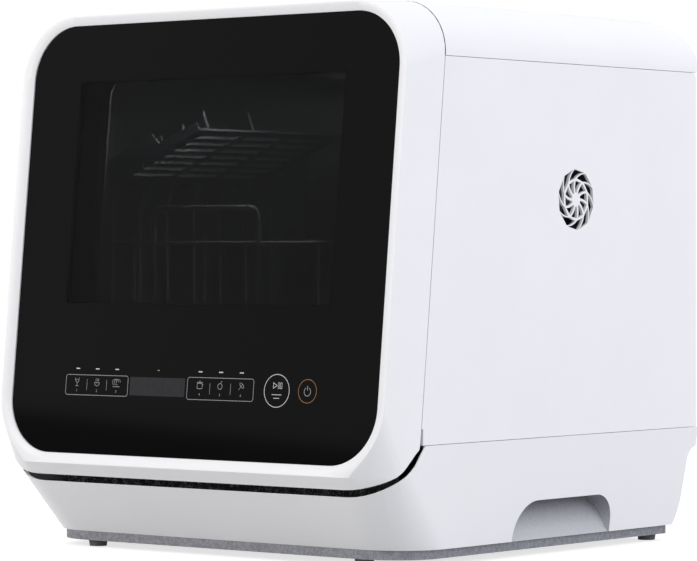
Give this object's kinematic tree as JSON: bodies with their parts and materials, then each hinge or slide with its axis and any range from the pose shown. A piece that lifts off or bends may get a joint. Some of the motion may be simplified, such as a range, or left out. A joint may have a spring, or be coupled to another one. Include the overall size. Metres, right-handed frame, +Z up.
{
  "type": "countertop dishwasher",
  "caption": "Countertop dishwasher: rounded white housing on a tapered base, leaning black glass drop-down door, wire basket that slides out with it, cup shelf, spray arm and water tank.",
  "frame": {"origin": "centre of the footprint, on the surface that the feet stand on", "axes": "+Z up, the door faces -Y, +X to the right of a person who faces the door"},
  "size_m": [0.42, 0.434, 0.445],
  "materials": {
    "white_cover": "semi-gloss",
    "grey_tray": "matt",
    "foot_rubber": "matt",
    "zinc_sheet": "satin",
    "screw_steel": "satin",
    "tub_steel": "brushed",
    "frame_plastic": "satin",
    "seal_rubber": "matt",
    "sump_plastic": "matt",
    "filter_plastic": "satin",
    "heater_steel": "satin",
    "tank_plastic": "translucent satin",
    "board_green": "satin",
    "black_glass": "polished",
    "clear_glass": "polished",
    "lid_plastic": "satin",
    "basket_wire": "polished wire"
  },
  "bodies": {
    "cabinet": {"feet": "foot_rubber", "base_tray": "grey_tray", "base_shell": "white_cover", "chassis_deck": "zinc_sheet", "side_panel_left": "white_cover", "side_panel_right": "white_cover", "top_cover": "white_cover", "rear_panel": "white_cover", "rear_screws": "screw_steel", "tub": "tub_steel", "tub_frame": "frame_plastic", "door_seal": "seal_rubber", "sump": "sump_plastic", "filter_cup": "filter_plastic", "spray_hub": "sump_plastic", "wash_pump": "sump_plastic", "drain_pump": "sump_plastic", "flow_heater": "heater_steel", "hoses": "seal_rubber", "water_tank": "tank_plastic", "fill_neck": "sump_plastic", "inlet_connector": "filter_plastic", "drain_connector": "sump_plastic", "cord_gland": "sump_plastic", "power_board": "board_green", "basket_rail_left": "frame_plastic", "basket_rail_right": "frame_plastic", "ceiling_nozzle": "filter_plastic", "hinge_ear_left": "zinc_sheet", "hinge_ear_right": "zinc_sheet", "latch_catch": "sump_plastic", "fan_duct": "sump_plastic", "fan_motor": "sump_plastic"},
    "door": {"door_frame": "white_cover", "door_glass": "black_glass", "display_module": "board_green", "door_liner": "frame_plastic", "inner_window": "clear_glass", "dispenser_body": "frame_plastic", "hinge_block_left": "zinc_sheet", "hinge_block_right": "zinc_sheet", "hinge_pins": "screw_steel", "latch_hook": "zinc_sheet"},
    "dispenser_lid": {"dispenser_lid": "lid_plastic"},
    "basket": {"basket_frame": "basket_wire", "basket_tines": "basket_wire", "basket_handle": "basket_wire", "basket_wheels": "frame_plastic"},
    "cup_shelf": {"cup_shelf": "lid_plastic"},
    "spray_arm": {"spray_arm": "lid_plastic"},
    "fan_rotor": {"fan_rotor": "sump_plastic"},
    "fill_lid": {"fill_lid": "white_cover"}
  },
  "joints": [
    {"name": "door_hinge", "type": "hinge", "parent": "cabinet", "child": "door", "pos_m": [0, -0.2, 0.0785], "axis": [1, 0, 0], "range_deg": [0, 96]},
    {"name": "basket_slide", "type": "slide", "parent": "cabinet", "child": "basket", "axis": [0, -1, 0], "range_m": [0, 0.13]},
    {"name": "shelf_fold", "type": "hinge", "parent": "basket", "child": "cup_shelf", "pos_m": [-0.15, 0, 0.307], "axis": [0, -1, 0], "range_deg": [0, 25]},
    {"name": "dispenser_slide", "type": "slide", "parent": "door", "child": "dispenser_lid", "axis": [1, 0, 0], "range_m": [0, 0.06]},
    {"name": "spray_spin", "type": "hinge", "parent": "cabinet", "child": "spray_arm", "pos_m": [0, 0, 0.124], "axis": [0, 0, 1], "continuous": true},
    {"name": "fan_spin", "type": "hinge", "parent": "cabinet", "child": "fan_rotor", "pos_m": [0.195, 0.036, 0.2895], "axis": [1, 0, 0], "continuous": true},
    {"name": "fill_lid_hinge", "type": "hinge", "parent": "cabinet", "child": "fill_lid", "pos_m": [0.12, 0.171, 0.4405], "axis": [-1, 0, 0], "range_deg": [0, 100]}
  ],
  "couplings": [
    {"joint": "basket_slide", "follows": "door_hinge", "m_per_rad": 0.07758}
  ]
}
